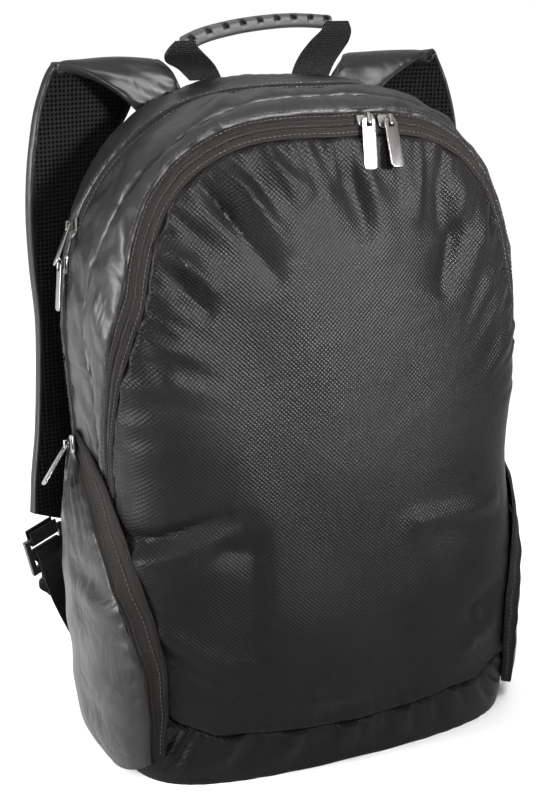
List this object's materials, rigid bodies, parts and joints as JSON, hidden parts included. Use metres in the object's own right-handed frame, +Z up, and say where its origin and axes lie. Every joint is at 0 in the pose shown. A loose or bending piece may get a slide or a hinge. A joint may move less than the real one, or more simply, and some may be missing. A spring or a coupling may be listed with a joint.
{
  "type": "laptop backpack",
  "caption": "Stuffed laptop backpack with an arched top, zipped compartments, side pockets, a moulded grab handle and padded shoulder straps.",
  "frame": {"origin": "middle of the flat base", "axes": "+Z up, -Y out of the front, +X to the right as seen from the front"},
  "size_m": [0.3748, 0.2285, 0.5114],
  "materials": {
    "satin_nylon": "fine nylon, satin",
    "ballistic_nylon": "basket weave, soft sheen",
    "zip_tape": "woven tape, matte",
    "spacer_mesh": "padded mesh, matte",
    "webbing": "ribbed webbing, matte",
    "moulded_grip": "moulded, matte",
    "black_plastic": "moulded, satin",
    "nickel": "bright nickel plate"
  },
  "bodies": {
    "bag": {"rear_band": "satin_nylon", "main_zip": "zip_tape", "middle_band": "satin_nylon", "front_band": "satin_nylon", "front_zip": "zip_tape", "base_panel": "satin_nylon", "front_panel": "ballistic_nylon", "back_panel": "spacer_mesh", "side_pocket_left": "satin_nylon", "side_pocket_right": "satin_nylon", "pocket_zip_left": "zip_tape", "pocket_zip_right": "zip_tape", "shoulder_strap_left": "satin_nylon", "shoulder_strap_right": "satin_nylon", "strap_mesh_left": "spacer_mesh", "strap_mesh_right": "spacer_mesh", "handle_grip": "moulded_grip", "handle_webbing_left": "webbing", "handle_webbing_right": "webbing", "strap_lock_left": "black_plastic", "strap_lock_right": "black_plastic", "lock_holder_left": "webbing", "lock_holder_right": "webbing", "adjuster_webbing_left": "webbing", "adjuster_webbing_right": "webbing", "slider_front_left": "nickel", "slider_front_right": "nickel", "slider_main_upper": "nickel", "slider_main_lower": "nickel", "slider_pocket_left": "nickel", "slider_pocket_right": "nickel"},
    "front_left_pull": {"pull_front_left": "nickel"},
    "front_right_pull": {"pull_front_right": "nickel"},
    "main_upper_pull": {"pull_main_upper": "nickel"},
    "main_lower_pull": {"pull_main_lower": "nickel"},
    "pocket_left_pull": {"pull_pocket_left": "nickel"},
    "pocket_right_pull": {"pull_pocket_right": "nickel"}
  },
  "joints": [
    {"name": "front_left_pull_lift", "type": "hinge", "parent": "bag", "child": "front_left_pull", "pos_m": [0.02126, -0.05529, 0.44924], "axis": [-0.9989, -0.021, 0.0418], "range_deg": [0, 150]},
    {"name": "front_right_pull_lift", "type": "hinge", "parent": "bag", "child": "front_right_pull", "pos_m": [0.03736, -0.05499, 0.44778], "axis": [-0.9946, -0.0531, 0.0893], "range_deg": [0, 150]},
    {"name": "main_upper_pull_lift", "type": "hinge", "parent": "bag", "child": "main_upper_pull", "pos_m": [-0.15386, 0.05003, 0.37372], "axis": [-0.1771, 0.766, -0.6179], "range_deg": [-8, 120]},
    {"name": "main_lower_pull_lift", "type": "hinge", "parent": "bag", "child": "main_lower_pull", "pos_m": [-0.15961, 0.05578, 0.34681], "axis": [-0.0154, 0.9945, -0.1034], "range_deg": [0, 120]},
    {"name": "pocket_left_pull_lift", "type": "hinge", "parent": "bag", "child": "pocket_left_pull", "pos_m": [-0.16336, 0.04651, 0.21707], "axis": [-0.015, 0.951, -0.3088], "range_deg": [-20, 100]},
    {"name": "pocket_right_pull_lift", "type": "hinge", "parent": "bag", "child": "pocket_right_pull", "pos_m": [0.16336, 0.04651, 0.21702], "axis": [-0.0213, -0.8829, 0.4691], "range_deg": [0, 110]}
  ]
}
